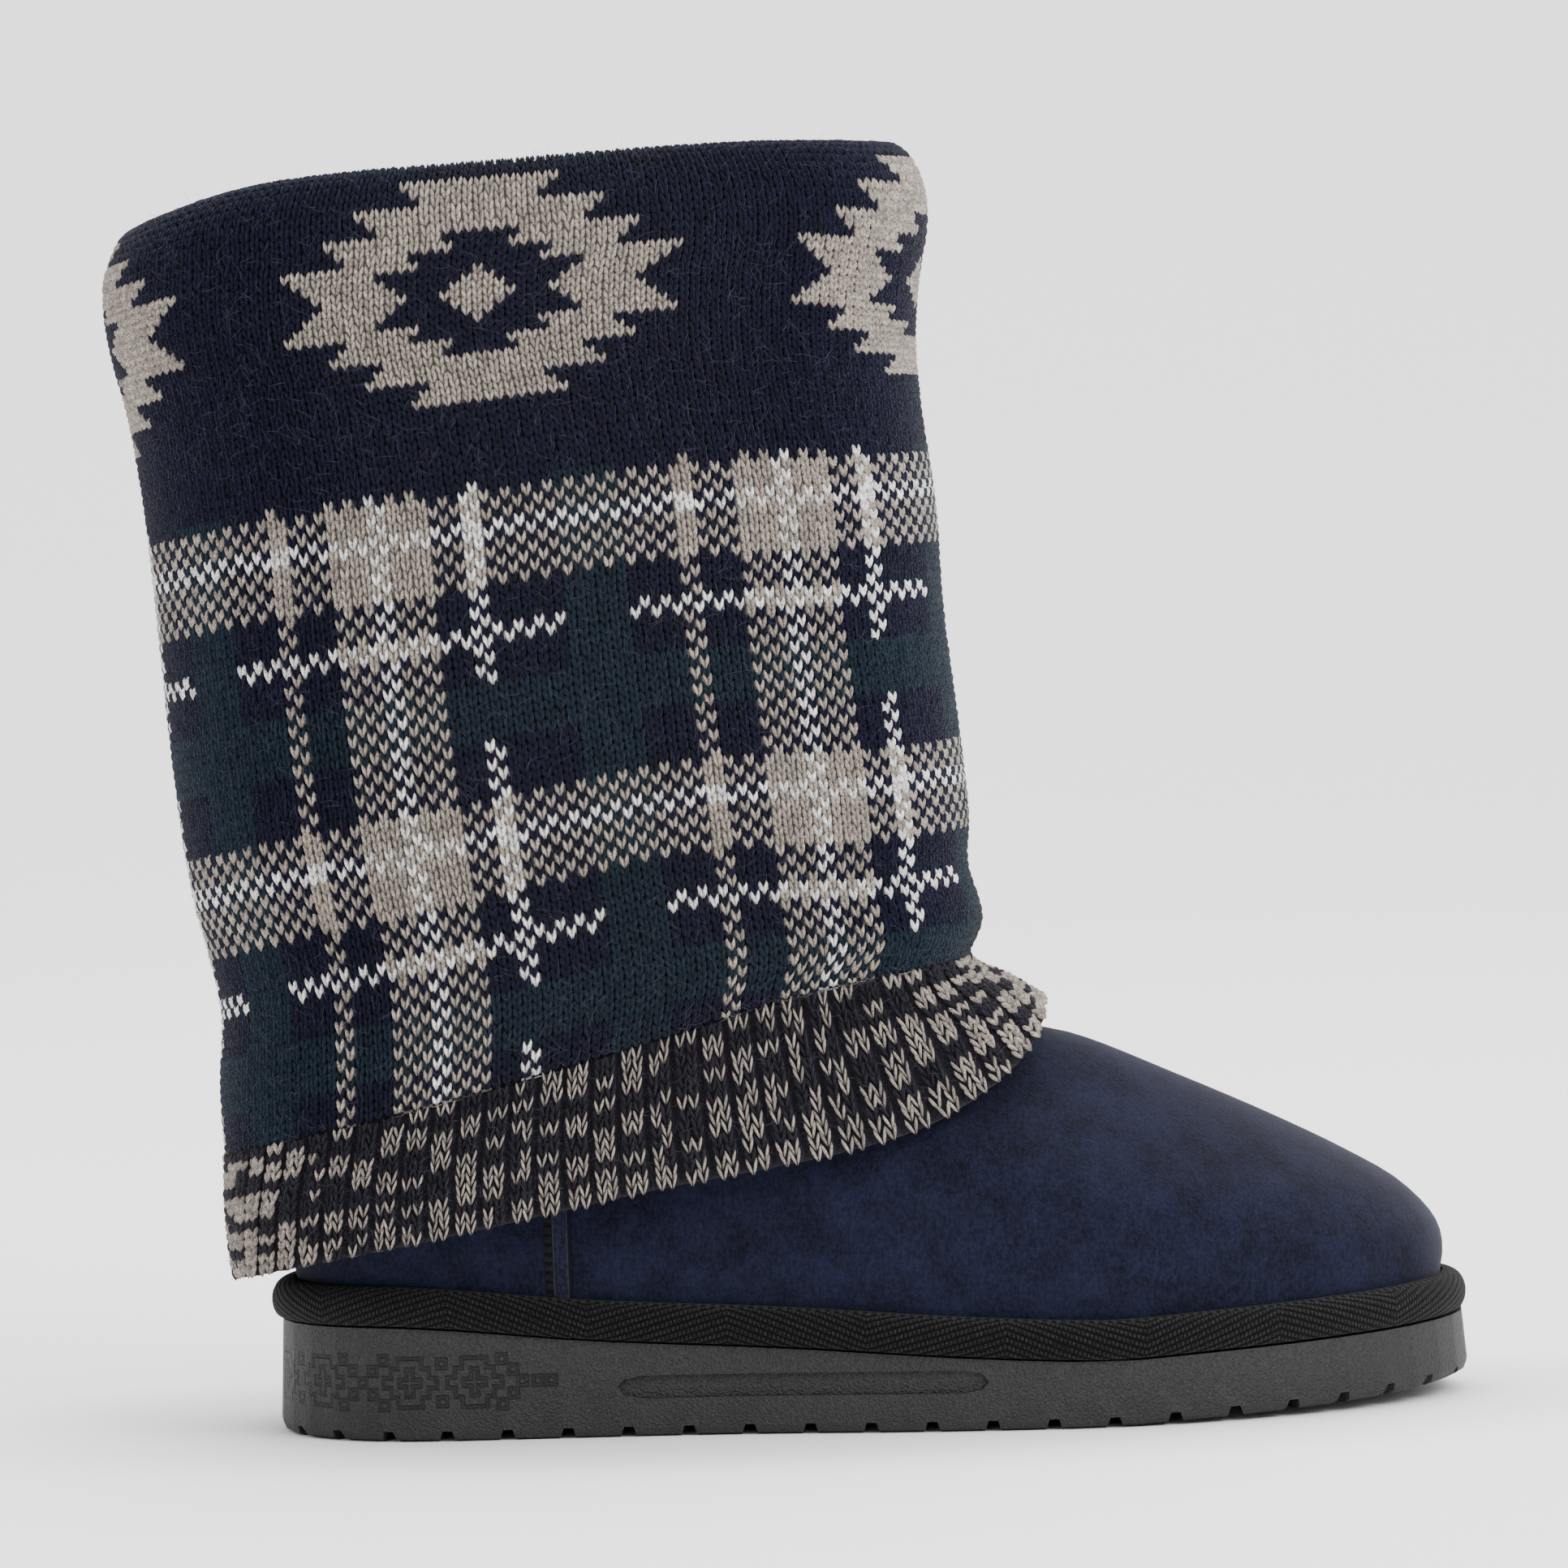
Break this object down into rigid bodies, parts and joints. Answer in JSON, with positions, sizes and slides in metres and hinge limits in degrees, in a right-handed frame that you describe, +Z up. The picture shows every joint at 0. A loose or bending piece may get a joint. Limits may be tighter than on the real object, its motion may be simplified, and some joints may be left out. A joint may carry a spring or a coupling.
{
  "type": "mukluk boot",
  "caption": "Pull-on winter boot: rounded foot, ridged wedge sole, bound edge, and a slack knitted sleeve over the shaft, turned over at the collar.",
  "frame": {"origin": "under the middle of the boot's bounding box, on the floor it stands on", "axes": "+X from heel to toe, +Y to the inner side of the foot, +Z up"},
  "size_m": [0.2986, 0.1044, 0.2855],
  "materials": {
    "outsole": "grained matt",
    "insole": "brushed",
    "upper": "napped, like suede",
    "binding_tape": "woven tape",
    "knit_sleeve": "sweater knit"
  },
  "bodies": {
    "root": {"outsole": "outsole", "insole": "insole", "upper": "upper", "binding_tape": "binding_tape", "knit_sleeve": "knit_sleeve"}
  },
  "joints": []
}
